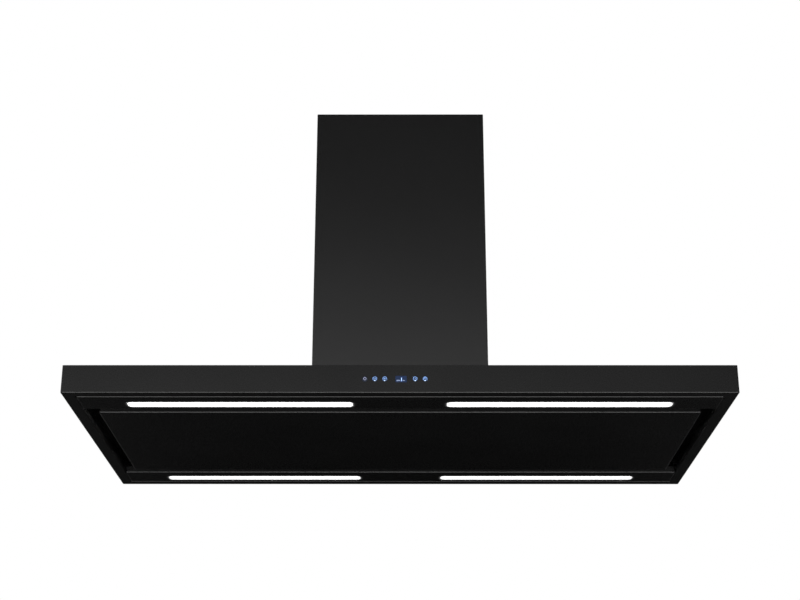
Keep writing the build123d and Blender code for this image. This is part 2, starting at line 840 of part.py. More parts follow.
def outlet_collar():
    base = outlet_top + collar_flange_t
    half_x = scroll_half_w + collar_flange_margin
    half_y = -blower_y + scroll_wall + collar_flange_margin
    reach = max(half_y, spigot_r + collar_edge)
    bore = spigot_r - spigot_wall
    collar = box(-max(half_x, reach), max(half_x, reach), -reach, reach, outlet_top, base)
    collar = collar + rod_z(spigot_r, outlet_top, base + spigot_l, 0, 0)
    collar = collar - rod_z(bore, outlet_top - 1, base + spigot_l + 1, 0, 0)
    ledge = rod_z(spigot_r - spigot_wall / 2, base + flap_ledge_z - flap_ledge_t, base + flap_ledge_z, 0, 0)
    ledge = ledge - rod_z(bore - flap_ledge_w, base, base + flap_ledge_z + 1, 0, 0)
    collar = collar + ledge
    return collar - rod_y(flap_pin_r + pin_fit / 2, -spigot_r - 1, spigot_r + 1, 0, flap_z)


def flap_pin():
    return rod_y(flap_pin_r, -spigot_r + spigot_wall / 4, spigot_r - spigot_wall / 4, 0, flap_z)


def knuckle_spans(side):
    """Where along Y each flap's knuckles sit: the outer pair and the inner pair."""
    centre = flap_knuckle_ys[0 if side < 0 else 1]
    half = flap_knuckle_l / 2
    return [(s * centre - half, s * centre + half) for s in (-1, 1)]


def damper_flap(side):
    bore = spigot_r - spigot_wall - flap_gap
    plate = rod_z(bore, flap_z - flap_t / 2, flap_z + flap_t / 2, 0, 0)
    keep = box(min(side * flap_hinge_gap, side * bore), max(side * flap_hinge_gap, side * bore),
               -bore, bore, flap_z - flap_t, flap_z + flap_t)
    flap = plate & keep
    for y0, y1 in knuckle_spans(side):
        flap = flap + rod_y(flap_knuckle_r, y0, y1, 0, flap_z)
        flap = flap + box(min(0, side * (flap_hinge_gap + 1)), max(0, side * (flap_hinge_gap + 1)),
                          y0, y1, flap_z - flap_t / 2, flap_z + flap_t / 2)
    return flap - rod_y(flap_pin_r + pin_fit, -spigot_r, spigot_r, 0, flap_z)


# ---- hanging frame

def base_frame():
    half_x, half_y = outer_in_x - frame_clear, outer_in_y - frame_clear
    frame = box(-half_x, half_x, -half_y, half_y, canopy_h, base_top)
    frame = frame - Pos(0, 0, canopy_h - 1) * Box(intake_x, intake_y, base_t + 2, align=LOW)
    for side in (-1, 1):
        wall = side * half_x
        inner = side * (half_x - post_t)
        reach = cover_screw_y + seam_strip_w
        for sy in (-1, 1):
            y0, y1 = sorted((sy * seam_strip_w, sy * reach))
            x0, x1 = sorted((wall, inner))
            frame = frame + box(x0, x1, y0, y1, canopy_h, base_top + base_flange_h)
    for x, y in base_bolt_places():
        frame = frame - rod_z(base_bolt_r + seat_gap, canopy_h - 1, base_top + 1, x, y)
    for side in (-1, 1):
        for sy in (-1, 1):
            hole = rod_x(cover_screw_r + pin_fit, 0, outer_in_x, sy * cover_screw_y, base_cover_screw_z())
            frame = frame - (hole if side > 0 else mirror(hole, Plane.YZ))
    return frame


def base_cover_screw_z():
    return base_top + base_flange_h / 2


def base_bolt(x, y):
    low = deck_z - plenum_sheet
    bolt = rod_z(base_bolt_r, low - nut_h, base_top, x, y)
    bolt = bolt + Pos(x, y, base_top) * extrude(RegularPolygon(bolt_head_r, 6), bolt_head_h)
    return bolt + Pos(x, y, low - nut_h) * extrude(RegularPolygon(bolt_head_r, 6), nut_h)


def angle_post(sx, sy, x, y, leg, z0, z1):
    """An upright angle with its corner at x, y and its legs turned inwards."""
    x_in, y_in = x - leg, y - leg
    outer = box(*sorted((sx * x_in, sx * x)), *sorted((sy * y_in, sy * y)), z0, z1)
    far_x, far_y = x_in - 1, y_in - 1
    return outer - box(*sorted((sx * far_x, sx * (x - post_t))), *sorted((sy * far_y, sy * (y - post_t))),
                       z0 - 1, z1 + 1)


def post_bolt_x():
    """How far from the centre line the posts' bolts stand."""
    return post_x - post_t - post_gap - post_bolt_inset


def lower_post(sx, sy):
    return angle_post(sx, sy, post_x, post_y, post_leg, base_top, ceiling_z - post_gap)


def upper_post(sx, sy):
    inset = post_t + post_gap
    post = angle_post(sx, sy, post_x - inset, post_y - inset, inner_post_leg,
                      ceiling_z - inner_post_l, ceiling_z)
    half = post_slot_w / 2
    x = sx * post_bolt_x()
    top = max(post_bolt_zs) + 2 * post_bolt_r
    bottom = min(post_bolt_zs) - frame_lift - 2 * post_bolt_r
    y0, y1 = sorted((0, sy * post_y))
    return post - box(x - half, x + half, y0, y1, bottom, top)


def post_bolt(sx, sy, z):
    """A stud on a lower post, through the upper post's slot, with its nut."""
    x = sx * post_bolt_x()
    face = post_y - post_t
    nut_y = face - post_gap - post_t - seat_gap
    stud = rod_y(post_bolt_r, *sorted((sy * face, sy * (nut_y - nut_h))), x, z)
    hexagon = Rot(90, 0, 0) * extrude(RegularPolygon(nut_r, 6), nut_h / 2, both=True)
    return stud + Pos(x, sy * (nut_y - nut_h / 2), z) * hexagon


def frame_straps():
    """Flat ties between neighbouring lower posts, inside their legs."""
    straps = []
    face_x, face_y = post_x - post_t, post_y - post_t
    end_x = post_x - post_t - post_gap - inner_post_leg - post_gap
    end_y = post_y - post_t - post_gap - inner_post_leg - post_gap
    for z in strap_zs:
        for s in (-1, 1):
            straps.append(box(-end_x, end_x, *sorted((s * face_y, s * (face_y - strap_t))), z, z + strap_h))
            straps.append(box(*sorted((s * face_x, s * (face_x - strap_t))), -end_y, end_y, z, z + strap_h))
    return straps


def anchor_places():
    return [(sx * anchor_x / 2, sy * anchor_y / 2) for sx, sy in post_corners()]


def ceiling_plate():
    half_x, half_y = inner_in_x - frame_clear, inner_in_y - frame_clear
    plate = box(-half_x, half_x, -half_y, half_y, ceiling_z, chimney_top)
    flange_y = cover_screw_y + cover_screw_head_r
    for side in (-1, 1):
        x0, x1 = sorted((side * half_x, side * (half_x - post_t)))
        plate = plate + box(x0, x1, -flange_y, flange_y, ceiling_z - ceiling_flange_h, ceiling_z)
    plate = plate - rod_z(ceiling_hole_r, ceiling_z - 1, chimney_top + 1, 0, 0)
    plate = plate - rod_z(grommet_r, ceiling_z - 1, chimney_top + 1, 0, grommet_y)
    slot = extrude(SlotOverall(anchor_slot_l, anchor_slot_w), ceiling_t + 2)
    for x, y in anchor_places():
        plate = plate - Pos(x, y, ceiling_z - 1) * slot
    for sy in (-1, 1):
        hole_y, hole_z = sy * cover_screw_y, top_cover_screw_z()
        plate = plate - rod_x(cover_screw_r + pin_fit, -inner_in_x, inner_in_x, hole_y, hole_z)
    return plate


def top_cover_screw_z():
    return ceiling_z - ceiling_flange_h / 2


def cable_grommet():
    """A rubber ring in the ceiling plate, flush on top so the plate lies flat."""
    low = ceiling_z - grommet_lip_t
    ring = rod_z(grommet_r, low, chimney_top, 0, grommet_y)
    ring = ring + rod_z(grommet_r + grommet_lip, low, ceiling_z, 0, grommet_y)
    return ring - rod_z(grommet_bore_r, low - 1, chimney_top + 1, 0, grommet_y)


def cover_screw(side, y, z, x_face, x_in):
    """A pan-head screw through a cover's side wall into the frame behind it."""
    shank = rod_x(cover_screw_r, *sorted((side * x_in, side * x_face)), y, z)
    head = rod_x(cover_screw_head_r, *sorted((side * x_face, side * (x_face + cover_screw_head_h))), y, z)
    return shank + head


# ---- chimney covers

def outer_chimney_half(side):
    tube = square_tube(chimney_w / 2, chimney_d / 2, canopy_h, chimney_top, chimney_sheet, chimney_bend)
    y0, y1 = sorted((side * chimney_seam / 2, side * chimney_d))
    keep = box(-chimney_w, chimney_w, y0, y1, 0, chimney_top + 1)
    half = tube & keep
    hole = rod_x(cover_screw_r + pin_fit, -chimney_w, chimney_w, side * cover_screw_y, base_cover_screw_z())
    return half - hole


def seam_strip(side):
    wall = outer_in_x
    inner = outer_in_x - seam_strip_t
    return box(*sorted((side * wall, side * inner)), -seam_strip_w / 2, seam_strip_w / 2,
               base_top + base_flange_h, chimney_top - chimney_bend)


def inner_chimney():
    tube = square_tube(inner_out_x, inner_out_y, chimney_top - inner_chimney_l, chimney_top - frame_clear,
                       chimney_sheet, chimney_bend)
    for sy in (-1, 1):
        hole_y, hole_z = sy * cover_screw_y, top_cover_screw_z()
        tube = tube - rod_x(cover_screw_r + pin_fit, -chimney_w, chimney_w, hole_y, hole_z)
    return tube


# ---- electrics

def electronics_box():
    x0, x1 = -box_x - box_w / 2, -box_x + box_w / 2
    tray = box(x0, x1, -box_d / 2, box_d / 2, deck_z - box_h, deck_z)
    tray = tray - box(x0 + box_wall, x1 - box_wall, -box_d / 2 + box_wall, box_d / 2 - box_wall,
                      deck_z - box_h - 1, deck_z - box_wall)
    return tray - rod_y(gland_r + seat_gap / 2, box_d / 2 - box_wall - 1, box_d / 2 + 1, -box_x, gland_z())


def gland_z():
    return deck_z - box_h / 2


def electronics_lid():
    z1 = deck_z - box_h
    return box(-box_x - box_w / 2, -box_x + box_w / 2, -box_d / 2, box_d / 2, z1 - box_wall, z1)


def power_board():
    """The board on its posts, with a terminal block and a capacitor under it."""
    z1 = deck_z - box_wall
    margin = 2 * box_wall
    top = z1 - board_stand
    low = top - board_t
    half_x = box_w / 2 - margin
    board = box(-box_x - half_x, -box_x + half_x, -box_d / 2 + margin, box_d / 2 - 4 * margin, low, top)
    for x in (-box_x - board_post_x, -box_x + board_post_x):
        for y in board_post_ys:
            half = board_post_w / 2
            board = board + box(x - half, x + half, y - half, y + half, top - board_t / 2, z1)
    half = terminal_w / 2
    board = board + box(-box_x - half, -box_x + half, *terminal_ys, low - terminal_h, low)
    board = board + rod_y(capacitor_r, 0, capacitor_l, -box_x, low - capacitor_r)
    half = capacitor_foot_w / 2
    return board + box(-box_x - half, -box_x + half, 0, capacitor_l, low - capacitor_r, low)


def cable_gland():
    wall_y = box_d / 2
    gland = rod_y(gland_r, wall_y - box_wall - gland_nut_l, wall_y + gland_l, -box_x, gland_z())
    for y0, y1 in ((wall_y - box_wall - gland_nut_l, wall_y - box_wall), (wall_y, wall_y + gland_nut_l)):
        collar = Rot(90, 0, 0) * extrude(RegularPolygon(gland_nut_r, 6), y1 - y0)
        gland = gland + Pos(-box_x, y1, gland_z()) * collar
    return gland - rod_y(gland_bore_r, 0, canopy_d / 2, -box_x, gland_z())


def lamp_driver():
    half_x, half_y = driver_w / 2, driver_d / 2
    driver = box(box_x - half_x, box_x + half_x, -half_y, half_y, deck_z - driver_h, deck_z)
    return fillet(driver.edges().filter_by(Axis.Z), driver_bend)


# ---- every node, by name

def sides(name, make):
    """A node for each of a left and a right piece."""
    return {f"{name}_left": [make(-1)], f"{name}_right": [make(1)]}


def nodes():
    both = (-1, 1)
    made = {
        "canopy_shell": [canopy_shell()],
        "light_panel_front": [light_panel(-1)],
        "light_panel_rear": [light_panel(1)],
        "light_panel_brackets": panel_brackets(),
        "lamp_housings": [lamp_housing(x, y) for x, y in lamp_places()],
        "lamp_boards": [lamp_board(x, y) for x, y in lamp_places()],
        "lamp_driver": [lamp_driver()],
        "centre_panel": [centre_panel()],
        "centre_panel_stiffeners": [stiffener(s * stiffener_y) for s in both],
        "hinge_leaves": [hinge_leaf(s * hinge_x) for s in both],
        "centre_panel_brackets": [hinge_bracket(s * hinge_x) for s in both]
        + [catch_bracket(s * catch_x) for s in both],
        "hinge_pins": [hinge_pin(s * hinge_x) for s in both],
        "catch_magnets": [catch_magnet(s * catch_x) for s in both],
        "filter_plenum": [filter_plenum()],
        "filter_frames": [filter_frame(x) for x in filter_xs()],
        "filter_meshes": [filter_mesh(x) for x in filter_xs()],
        "control_housing": [control_housing()],
        "control_board": [control_board()],
        "control_screws": [control_screw(x, z) for x, z in control_screw_places()],
        "display_window": [display_window()],
        "impeller": [impeller()],
        "motor_shaft": [motor_shaft()],
        "motor": [motor()],
        "motor_spider": [motor_spider()],
        "blower_supports": [blower_support(s) for s in both],
        "support_bushes": [support_bush(s, y) for s in both for y in support_bush_ys()],
        "outlet_collar": [outlet_collar()],
        "damper_pin": [flap_pin()],
        "base_frame": [base_frame()],
        "base_bolts": [base_bolt(x, y) for x, y in base_bolt_places()]
        + [support_screw(s, y) for s in both for y in support_bush_ys()],
        "lower_posts": [lower_post(sx, sy) for sx, sy in post_corners()],
        "upper_posts": [upper_post(sx, sy) for sx, sy in post_corners()],
        "post_bolts": [post_bolt(sx, sy, z) for sx, sy in post_corners() for z in post_bolt_zs],
        "frame_straps": frame_straps(),
        "ceiling_plate": [ceiling_plate()],
        "cable_grommet": [cable_grommet()],
        "chimney_front": [outer_chimney_half(-1)],
        "chimney_rear": [outer_chimney_half(1)],
        "chimney_seam_strips": [seam_strip(s) for s in both],
        "chimney_extension": [inner_chimney()],
        "chimney_screws": [cover_screw(s, sy * cover_screw_y, base_cover_screw_z(), chimney_w / 2,
                                       outer_in_x - frame_clear - post_t) for s in both for sy in both],
        "extension_screws": [cover_screw(s, sy * cover_screw_y, top_cover_screw_z(), inner_out_x,
                                         inner_in_x - frame_clear - post_t) for s in both for sy in both],
        "electronics_box": [electronics_box()],
        "electronics_lid": [electronics_lid()],
        "power_board": [power_board()],
        "cable_gland": [cable_gland()],
    }
    made.update(sides("blower_housing", scroll_half))
    made.update(sides("damper_flap", damper_flap))
    for where, side in (("front", -1), ("rear", 1)):
        made[f"lamp_diffusers_{where}"] = [diffuser(sx, side) for sx in both]
    for name, x in zip(("left", "middle", "right"), filter_xs()):
        made[f"filter_latch_{name}"] = [filter_latch(x)]
    for name, x in button_xs.items():
        made[f"button_{name}"] = [button(x)]
    return made


os.makedirs("parts", exist_ok=True)
for name, shapes in nodes().items():
    solids = [solid for shape in shapes for solid in shape.solids()]
    export_step(solids[0] if len(solids) == 1 else Compound(solids), f"parts/{name}.step")
    print(name, len(solids))
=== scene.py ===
from math import cos, pi, radians, sin

import bpy
from mathutils import Matrix, Vector

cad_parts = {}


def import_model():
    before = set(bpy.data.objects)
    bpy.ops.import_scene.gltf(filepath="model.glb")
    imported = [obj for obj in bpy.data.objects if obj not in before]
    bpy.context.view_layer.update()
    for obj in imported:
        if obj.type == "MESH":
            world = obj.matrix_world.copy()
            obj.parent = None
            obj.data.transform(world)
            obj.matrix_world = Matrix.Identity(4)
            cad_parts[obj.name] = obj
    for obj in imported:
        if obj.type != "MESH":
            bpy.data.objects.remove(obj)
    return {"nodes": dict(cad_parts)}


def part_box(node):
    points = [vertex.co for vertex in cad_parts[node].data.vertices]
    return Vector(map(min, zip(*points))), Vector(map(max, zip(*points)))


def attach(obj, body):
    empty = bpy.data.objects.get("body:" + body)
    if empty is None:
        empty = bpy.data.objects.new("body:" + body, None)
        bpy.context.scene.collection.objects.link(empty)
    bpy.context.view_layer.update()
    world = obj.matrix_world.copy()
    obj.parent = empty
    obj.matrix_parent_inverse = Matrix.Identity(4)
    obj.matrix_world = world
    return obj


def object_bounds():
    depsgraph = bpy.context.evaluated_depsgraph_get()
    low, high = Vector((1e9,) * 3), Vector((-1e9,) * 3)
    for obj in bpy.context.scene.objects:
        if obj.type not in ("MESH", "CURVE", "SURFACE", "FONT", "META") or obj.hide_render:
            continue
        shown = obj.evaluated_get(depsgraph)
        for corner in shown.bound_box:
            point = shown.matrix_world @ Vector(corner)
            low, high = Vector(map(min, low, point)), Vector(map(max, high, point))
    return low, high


# Looks of the island chimney hood. Metres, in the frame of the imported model:
# origin at the middle of the canopy's underside, -Y front, +Z up.

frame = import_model()
cad_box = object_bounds()
mm = 0.001
um = 0.000001

# ---- the photograph's view
CAMERA_AT = Vector((0.0062, -2.9044, -0.8200))
CAMERA_PITCH = 21.113
CAMERA_YAW = -0.133
CAMERA_ROLL = 0.045
LENS = 68.90
SENSOR = 36.0
SEES_TO = 200.0

# ---- ramps: the value at the start and at the stop, the start, the stop
# The world's light in reflections, by the axes of the ray's direction: bright
# low in front, dimmer to the right and behind, and a glow high at the back.
FRONT_BY_HEIGHT = (1.55, 0.0, 0.25, 0.335)
FRONT_BY_SIDE = (1.0, 0.18, 0.08, 0.24)
FRONT_BY_DEPTH = (1.0, 0.06, -0.5, 0.0)
BACK_BY_DEPTH = (0.0, 0.4, 0.0, 0.35)
BACK_BY_HEIGHT = (0.0, 1.0, 0.05, 0.35)
# The world's soft light for all other rays, by the height of the direction.
AMBIENT_BY_HEIGHT = (0.15, 0.30, -0.1, 0.9)
# The floor's lift for the camera, by distance from the middle, and its glow in
# reflections, by distance to either side.
FLOOR_LIFT = (0.52, 0.90, 2.5, 8.0)
FLOOR_GLOW = (0.0, 0.22, 3.0, 5.0)

# ---- floor
FLOOR_DROP = 1.75
FLOOR_HALF = 40.0
FLOOR_SEEN_GREY = 0.40
FLOOR_DARK_GREY = 0.01

# ---- softboxes: name, place, aim, width, height, watts, spread in degrees
SOFTBOXES = (
    ("key", (0.0, -1.3, 3.9), (0, 0, 0.2), 2.6, 1.6, 45.0, 180),
    ("top", (0.0, 1.6, 3.6), (0, 0.1, 0.1), 4.0, 2.4, 50.0, 180),
    ("left", (-3.6, 2.1, 1.5), (0, 0.1, 0.3), 3.8, 2.6, 60.0, 180),
    ("right", (3.6, 2.1, 1.5), (0, 0.1, 0.3), 3.8, 2.6, 60.0, 180),
    ("back", (0.4, 4.2, 1.6), (0, 0, 0.3), 5.2, 3.2, 30.0, 180),
    ("low", (0, -2.1, -1.25), (0, -0.2, 0), 4.0, 1.4, 48.0, 120),
)

# ---- lamp windows, as they are in the light panels
WINDOW_FLANGE = 4.0 * mm
WINDOW_CORNER = 9.5 * mm
WINDOW_INNER_END = 84.5 * mm
PANEL_FLOOR = 1.6 * mm

# ---- lamps: the glow of a diffuser, the share of it left at the window's edge,
# and a painted glow on the paint outside, standing in for the light spilt there
LAMP_GLOW = 1.05
LAMP_EDGE_SHARE = 0.25
LAMP_EDGE_WIDTH = 3.4 * mm
PAINTED_HALO_GLOW = 0.16
PAINTED_HALO_REACH = 1.1 * mm

# ---- lit symbols, in millimetres from the middle of the button or its ring
BUTTONS = ("power", "minus", "plus", "timer", "light")
RING_RISE = 0.9
RING_RADII = (3.7, 3.0)
STATUS_DROP, STATUS_R, STATUS_STEPS = 2.7, 0.95, 24
# Bars: left, right, low, high. Arcs: rise, outer and inner radius, first and last angle.
GLYPH_BARS = {
    "power": ((-0.4, 0.4, 1.8, 4.0),),
    "minus": ((-1.8, 1.8, -0.35, 0.35),),
    "plus": ((-1.8, 1.8, -0.35, 0.35), (-0.35, 0.35, 0.36, 1.8), (-0.35, 0.35, -1.8, -0.36)),
    "timer": ((-0.3, 0.3, -0.3, 2.1), (0.31, 1.7, -0.3, 0.3)),
    "light": ((-0.75, 0.75, -1.7, -1.25),),
}
GLYPH_ARCS = {
    "power": ((0.8, 2.7, 1.9, 120, 420),),
    "light": ((0.5, 1.7, 1.15, -60, 240),),
}
SYMBOL_THICK = 0.06 * mm

# ---- display figures, in millimetres from the middle of its window
NUMERAL = (0.1, 1.6, -3.9, 2.6)
LEVEL_BLOCK, LEVEL_PITCH, LEVEL_COUNT = (-7.8, -6.0, -3.6, -1.6), 2.3, 3
SIDE_BLOCK = (3.4, 6.4, -3.4, -2.0)
FIGURE_THICK = 0.05 * mm

# ---- painted shade of the cross recesses in the pan heads: flat dark crosses, sizes as shares of the head's radius
RECESS_SHADE_ARM, RECESS_SHADE_HALF_WIDTH = 0.55, 0.11
RECESS_SHADE_THICK = 0.04 * mm


# ---------------------------------------------------------------- node helpers

# The range that a noise texture mostly keeps to.
NOISE_FROM, NOISE_TO = 0.3, 0.7


def new_material(name):
    mat = bpy.data.materials.new(name)
    mat.use_nodes = True
    return mat, mat.node_tree, mat.node_tree.nodes["Principled BSDF"]


def add(tree, kind, settings=None, **values):
    """A node with its settings and the values of its unlinked sockets."""
    node = tree.nodes.new(kind)
    for key, value in (settings or {}).items():
        setattr(node, key, value)
    for key, value in values.items():
        node.inputs[key.replace("_", " ")].default_value = value
    return node


def object_point(tree, stretch=(1, 1, 1)):
    """The point on the object, in metres, stretched by a factor on each axis."""
    coords = add(tree, "ShaderNodeTexCoord")
    mapping = add(tree, "ShaderNodeMapping", Scale=stretch)
    tree.links.new(coords.outputs["Object"], mapping.inputs["Vector"])
    return mapping.outputs["Vector"]


def noise(tree, scale, detail=2.0, stretch=(1, 1, 1)):
    node = add(tree, "ShaderNodeTexNoise", Scale=scale, Detail=detail)
    tree.links.new(object_point(tree, stretch), node.inputs["Vector"])
    return node.outputs["Fac"]


def cells(tree, scale, feature="F1", output="Color", stretch=(1, 1, 1)):
    node = add(tree, "ShaderNodeTexVoronoi", {"feature": feature}, Scale=scale)
    tree.links.new(object_point(tree, stretch), node.inputs["Vector"])
    return node.outputs[output]


def spread(tree, source, low, high, start=NOISE_FROM, stop=NOISE_TO):
    """A value spread from start..stop to low..high, and held at the ends."""
    node = add(tree, "ShaderNodeMapRange")
    node.inputs["From Min"].default_value = start
    node.inputs["From Max"].default_value = stop
    node.inputs["To Min"].default_value = low
    node.inputs["To Max"].default_value = high
    tree.links.new(source, node.inputs["Value"])
    return node.outputs["Result"]


def blend_colours(tree, source, first, second, start=NOISE_FROM, stop=NOISE_TO):
    node = add(tree, "ShaderNodeMix", {"data_type": "RGBA"})
    node.inputs["A"].default_value = (*first, 1)
    node.inputs["B"].default_value = (*second, 1)
    tree.links.new(spread(tree, source, 0, 1, start, stop), node.inputs["Factor"])
    return node.outputs["Result"]


def bump(tree, height, distance, under=None):
    node = add(tree, "ShaderNodeBump", Strength=1.0, Distance=distance)
    tree.links.new(height, node.inputs["Height"])
    if under is not None:
        tree.links.new(under, node.inputs["Normal"])
    return node.outputs["Normal"]


def maths(tree, operation, *terms):
    """One arithmetic step on numbers and sockets."""
    node = tree.nodes.new("ShaderNodeMath")
    node.operation = operation
    for socket, term in zip(node.inputs, terms):
        if isinstance(term, (int, float)):
            socket.default_value = term
        else:
            tree.links.new(term, socket)
    return node.outputs[0]


def product(tree, first, *others):
    for other in others:
        first = maths(tree, "MULTIPLY", first, other)
    return first


def apart(tree, first, second):
    """How far two values are apart."""
    return maths(tree, "ABSOLUTE", maths(tree, "SUBTRACT", first, second))


def hypotenuse(tree, a, b):
    squares = maths(tree, "ADD", product(tree, a, a), product(tree, b, b))
    return maths(tree, "SQRT", squares)


def either(tree, switch, chosen, otherwise):
    """One value where the switch is 1, and the other where it is 0."""
    off = maths(tree, "SUBTRACT", 1.0, switch)
    return maths(tree, "ADD", product(tree, switch, chosen), product(tree, off, otherwise))


def axes(tree, vector):
    """The x, y and z of a vector."""
    split = add(tree, "ShaderNodeSeparateXYZ")
    tree.links.new(vector, split.inputs[0])
    return split.outputs


def grey(level):
    return (level, level, level)


def dimmed(colour, share):
    return tuple(c * share for c in colour)


# ---------------------------------------------------------------- materials

# Noise and cell scales are per metre, and depths are those of the bumps.
COAT_CLOUDS, COAT_SHEEN, COAT_PEEL, COAT_GRAIN = 6.0, 900.0, 420.0, 2600.0
COAT_PEEL_DEPTH, COAT_GRAIN_DEPTH = 6 * um, 3 * um
COAT_SPAN = (0.04, 0.05)

SPANGLE, SPANGLE_GRAIN, SPANGLE_DEPTH = 110.0, 700.0, 4 * um
SPANGLE_GREYS = (grey(0.40), grey(0.58))
SPANGLE_ROUGH = (0.32, 0.52)

METAL_DARK, METAL_DEPTH = 0.82, 3 * um
METAL_SPAN = (0.06, 0.06)

PLASTIC_DARK, PLASTIC_CLOUDS, PLASTIC_SPECULAR = 0.86, 25.0, 0.4
PLASTIC_SPAN = (0.05, 0.07)

TRACKS, TRACK_STRETCH, TRACK_DEPTH = 240.0, (1, 1, 0.3), 30 * um
TRACK_EDGE = (0.03, 0.06)
BOARD_ROUGH = 0.32

LIT_ROUGH = 0.5
FROST = 500.0
SYMBOL_FROST = (0.96, 1.04)
LAMP_FROST = (0.98, 1.03)

# Powder coats: the darkest and the palest grey, roughness, specular level.
# The canopy, chimney and panel coats are copies of one satin black coat; the chimney's higher
# specular level is a painted sheen that makes it read brighter than the canopy.
COATS = {
    "canopy": (0.0055, 0.0072, 0.28, 0.31),
    "chimney": (0.0055, 0.0068, 0.22, 0.80),
    "panel": (0.0055, 0.0070, 0.26, 0.34),
    "inside": (0.010, 0.012, 0.5, 0.15),
}


def roughen(tree, bsdf, source, rough, span):
    """Roughness that the noise moves down and up by a span."""
    less, more = span
    tree.links.new(spread(tree, source, rough - less, rough + more), bsdf.inputs["Roughness"])


def powder_coat(name, dark, pale, rough, specular):
    """Satin black powder coat: faint cloudiness, uneven sheen, orange peel and fine grain."""
    mat, tree, bsdf = new_material(name)
    clouds = noise(tree, COAT_CLOUDS, detail=3.0)
    paint = blend_colours(tree, clouds, grey(dark), grey(pale))
    tree.links.new(paint, bsdf.inputs["Base Color"])
    roughen(tree, bsdf, noise(tree, COAT_SHEEN, detail=3.0), rough, COAT_SPAN)
    bsdf.inputs["Specular IOR Level"].default_value = specular
    peel = bump(tree, noise(tree, COAT_PEEL, detail=1.0), COAT_PEEL_DEPTH)
    grain = bump(tree, noise(tree, COAT_GRAIN), COAT_GRAIN_DEPTH, under=peel)
    tree.links.new(grain, bsdf.inputs["Normal"])
    return mat


def away_from_windows(tree):
    """The distance from the nearest lamp window's edge, negative inside it, and the height."""
    rows = [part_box(name) for name in ("lamp_diffusers_front", "lamp_diffusers_rear")]
    low, high = rows[0]
    outer_end = high.x - WINDOW_FLANGE
    centre_x = (outer_end + WINDOW_INNER_END) / 2
    half_x = (outer_end - WINDOW_INNER_END) / 2 - WINDOW_CORNER
    half_y = (high.y - low.y) / 2 - WINDOW_FLANGE - WINDOW_CORNER
    x, y, z = axes(tree, object_point(tree))
    from_x = apart(tree, maths(tree, "ABSOLUTE", x), centre_x)
    from_rows = [apart(tree, y, (near.y + far.y) / 2) for near, far in rows]
    past_x = maths(tree, "SUBTRACT", from_x, half_x)
    past_y = maths(tree, "SUBTRACT", maths(tree, "MINIMUM", *from_rows), half_y)
    outside = hypotenuse(tree, maths(tree, "MAXIMUM", past_x, 0.0),
                         maths(tree, "MAXIMUM", past_y, 0.0))
    inside = maths(tree, "MINIMUM", maths(tree, "MAXIMUM", past_x, past_y), 0.0)
    away = maths(tree, "ADD", outside, inside)
    return maths(tree, "SUBTRACT", away, WINDOW_CORNER), z


def painted_lamp_halo(mat):
    """Painted light: a glow painted on the paint round the lit windows, standing in for the light
    they spill, gone in a few millimetres.
    """
    tree = mat.node_tree
    bsdf = tree.nodes["Principled BSDF"]
    away, height = away_from_windows(tree)
    fade = maths(tree, "EXPONENT", maths(tree, "DIVIDE", away, -PAINTED_HALO_REACH))
    near = maths(tree, "MINIMUM", fade, 1.0)
    face = maths(tree, "LESS_THAN", height, PANEL_FLOOR)
    bsdf.inputs["Emission Color"].default_value = (1, 1, 1, 1)
    tree.links.new(product(tree, near, face, PAINTED_HALO_GLOW), bsdf.inputs["Emission Strength"])


def galvanised():
    """Galvanised sheet with a spangle of pale and dark flakes."""
    mat, tree, bsdf = new_material("galvanised_sheet")
    bsdf.inputs["Metallic"].default_value = 1.0
    flakes = add(tree, "ShaderNodeSeparateColor")
    tree.links.new(cells(tree, SPANGLE), flakes.inputs[0])
    tone, sheen = flakes.outputs[0], flakes.outputs[1]
    tree.links.new(blend_colours(tree, tone, *SPANGLE_GREYS, 0, 1), bsdf.inputs["Base Color"])
    tree.links.new(spread(tree, sheen, *SPANGLE_ROUGH, 0, 1), bsdf.inputs["Roughness"])
    tree.links.new(bump(tree, noise(tree, SPANGLE_GRAIN), SPANGLE_DEPTH), bsdf.inputs["Normal"])
    return mat


def metal(name, colour, rough, stretch=(1, 1, 1), scale=900.0):
    """Metal drawn or brushed along its least stretched axis."""
    mat, tree, bsdf = new_material(name)
    bsdf.inputs["Metallic"].default_value = 1.0
    lines = noise(tree, scale, detail=3.0, stretch=stretch)
    tone = blend_colours(tree, lines, dimmed(colour, METAL_DARK), colour)
    tree.links.new(tone, bsdf.inputs["Base Color"])
    roughen(tree, bsdf, lines, rough, METAL_SPAN)
    tree.links.new(bump(tree, lines, METAL_DEPTH), bsdf.inputs["Normal"])
    return mat


def plastic(name, colour, rough, grain=1500.0, depth=12 * um, glow=None):
    """Moulded plastic with an etched grain, and a faint glow where it is lit from inside."""
    mat, tree, bsdf = new_material(name)
    clouds = noise(tree, PLASTIC_CLOUDS, detail=3.0)
    tone = blend_colours(tree, clouds, dimmed(colour, PLASTIC_DARK), colour)
    tree.links.new(tone, bsdf.inputs["Base Color"])
    etched = noise(tree, grain)
    roughen(tree, bsdf, etched, rough, PLASTIC_SPAN)
    bsdf.inputs["Specular IOR Level"].default_value = PLASTIC_SPECULAR
    tree.links.new(bump(tree, etched, depth), bsdf.inputs["Normal"])
    if glow is not None:
        bsdf.inputs["Emission Color"].default_value = (*glow, 1)
        bsdf.inputs["Emission Strength"].default_value = 1.0
    return mat


def circuit_board(name, mask, copper):
    """Solder mask over copper tracks and pads."""
    mat, tree, bsdf = new_material(name)
    track = cells(tree, TRACKS, "DISTANCE_TO_EDGE", "Distance", TRACK_STRETCH)
    tone = blend_colours(tree, track, copper, mask, *TRACK_EDGE)
    tree.links.new(tone, bsdf.inputs["Base Color"])
    bsdf.inputs["Roughness"].default_value = BOARD_ROUGH
    raised = spread(tree, track, 1, 0, *TRACK_EDGE)
    tree.links.new(bump(tree, raised, TRACK_DEPTH), bsdf.inputs["Normal"])
    return mat


